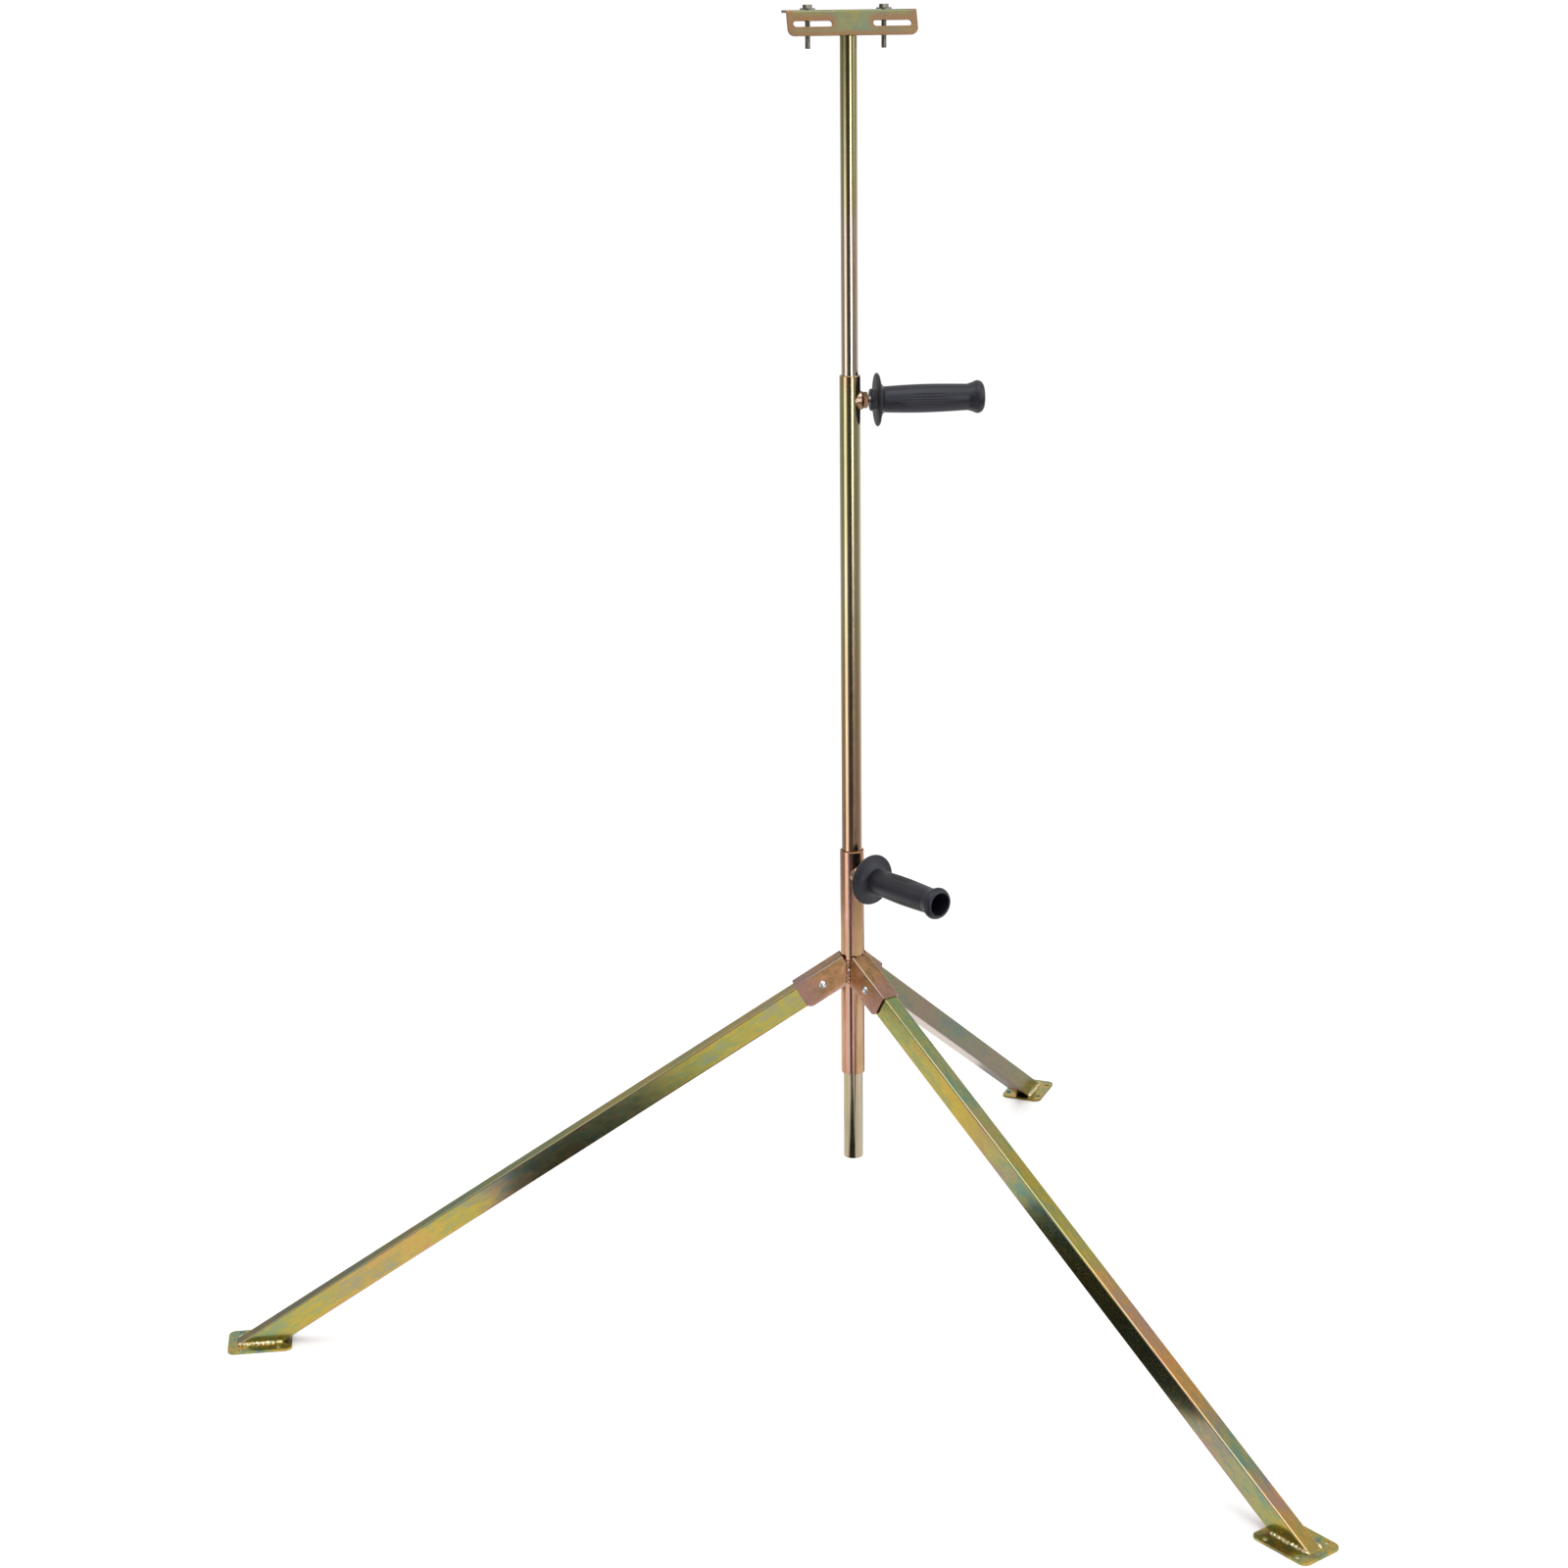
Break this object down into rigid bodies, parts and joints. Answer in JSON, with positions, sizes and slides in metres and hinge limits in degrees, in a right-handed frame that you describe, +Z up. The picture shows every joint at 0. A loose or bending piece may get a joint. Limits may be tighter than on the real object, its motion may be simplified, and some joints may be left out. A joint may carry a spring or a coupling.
{
  "type": "tripod field stand",
  "caption": "Folding tripod stand with a telescoping tube mast, hand-grip clamp screws and a slotted bracket on top, in yellow-plated steel.",
  "frame": {"origin": "on the mast axis at ground level, the plane of the foot plates' undersides", "axes": "+Z up the mast; X along the head bracket and its slots, the front flange facing -Y"},
  "size_m": [1.3087, 1.4031, 1.6269],
  "materials": {
    "yellow_zinc": "yellow chromate zinc, iridescent, satin",
    "copper_zinc": "yellow chromate zinc gone coppery pink, satin",
    "weld_metal": "plated weld bead, lumpy",
    "bright_zinc": "bright zinc, domed rivets",
    "bolt_steel": "dull grey steel",
    "grip_plastic": "moulded charcoal, satin"
  },
  "bodies": {
    "hub": {"hub_sleeve": "copper_zinc", "hub_weld_beads": "weld_metal", "leg_bracket_left": "copper_zinc", "leg_bracket_right": "copper_zinc", "leg_bracket_back": "copper_zinc", "pivot_rivet_left": "bright_zinc", "pivot_rivet_right": "bright_zinc", "pivot_rivet_back": "bright_zinc", "lower_clamp_nut": "copper_zinc", "lower_clamp_weld": "weld_metal"},
    "leg_left": {"leg_tube_left": "yellow_zinc", "foot_plate_left": "yellow_zinc", "foot_weld_left": "weld_metal"},
    "leg_right": {"leg_tube_right": "yellow_zinc", "foot_plate_right": "yellow_zinc", "foot_weld_right": "weld_metal"},
    "leg_back": {"leg_tube_back": "yellow_zinc", "foot_plate_back": "yellow_zinc", "foot_weld_back": "weld_metal"},
    "middle_mast": {"middle_tube": "yellow_zinc", "upper_clamp_nut": "copper_zinc", "upper_clamp_weld": "weld_metal"},
    "upper_mast": {"upper_tube": "yellow_zinc"},
    "head": {"head_bracket": "yellow_zinc", "head_weld": "weld_metal"},
    "lower_screw": {"lower_clamp_stud": "bright_zinc"},
    "lower_handle": {"lower_grip": "grip_plastic"},
    "upper_screw": {"upper_clamp_stud": "bright_zinc"},
    "upper_handle": {"upper_grip": "grip_plastic"},
    "left_slot_bolt": {"slot_bolt_left": "bolt_steel", "slot_washer_left": "bolt_steel"},
    "right_slot_bolt": {"slot_bolt_right": "bolt_steel", "slot_washer_right": "bolt_steel"}
  },
  "joints": [
    {"name": "leg_left_fold", "type": "hinge", "parent": "hub", "child": "leg_left", "pos_m": [-0.03966, 0.00522, 0.442], "axis": [-0.1305, -0.9914, 0], "range_deg": [0, 58]},
    {"name": "leg_right_fold", "type": "hinge", "parent": "hub", "child": "leg_right", "pos_m": [0.01531, -0.03696, 0.442], "axis": [0.9239, 0.3827, 0], "range_deg": [0, 58]},
    {"name": "leg_back_fold", "type": "hinge", "parent": "hub", "child": "leg_back", "pos_m": [0.02435, 0.03173, 0.442], "axis": [-0.7934, 0.6088, 0], "range_deg": [0, 58]},
    {"name": "middle_mast_slide", "type": "slide", "parent": "hub", "child": "middle_mast", "axis": [0, 0, 1], "range_m": [-0.2, 0.33]},
    {"name": "upper_mast_slide", "type": "slide", "parent": "middle_mast", "child": "upper_mast", "axis": [0, 0, 1], "range_m": [-0.365, 0.48]},
    {"name": "head_turn", "type": "hinge", "parent": "upper_mast", "child": "head", "pos_m": [0, 0, 1.618], "axis": [0, 0, 1], "continuous": true},
    {"name": "lower_screw_travel", "type": "slide", "parent": "hub", "child": "lower_screw", "axis": [0.3827, -0.9239, 0], "range_m": [0, 0.0045]},
    {"name": "lower_handle_turn", "type": "hinge", "parent": "lower_screw", "child": "lower_handle", "pos_m": [0.03827, -0.09239, 0.584], "axis": [0.3827, -0.9239, 0], "range_deg": [0, 1080]},
    {"name": "upper_screw_travel", "type": "slide", "parent": "middle_mast", "child": "upper_screw", "axis": [0.9914, -0.1305, 0], "range_m": [0, 0.0045]},
    {"name": "upper_handle_turn", "type": "hinge", "parent": "upper_screw", "child": "upper_handle", "pos_m": [0.09914, -0.01305, 1.173], "axis": [0.9914, -0.1305, 0], "range_deg": [0, 1080]},
    {"name": "left_bolt_slide", "type": "slide", "parent": "head", "child": "left_slot_bolt", "axis": [1, 0, 0], "range_m": [-0.0187, 0.0203]},
    {"name": "right_bolt_slide", "type": "slide", "parent": "head", "child": "right_slot_bolt", "axis": [1, 0, 0], "range_m": [-0.0152, 0.0238]}
  ],
  "couplings": [
    {"joint": "lower_screw_travel", "follows": "lower_handle_turn", "m_per_rad": 0.00023873},
    {"joint": "upper_screw_travel", "follows": "upper_handle_turn", "m_per_rad": 0.00023873}
  ]
}
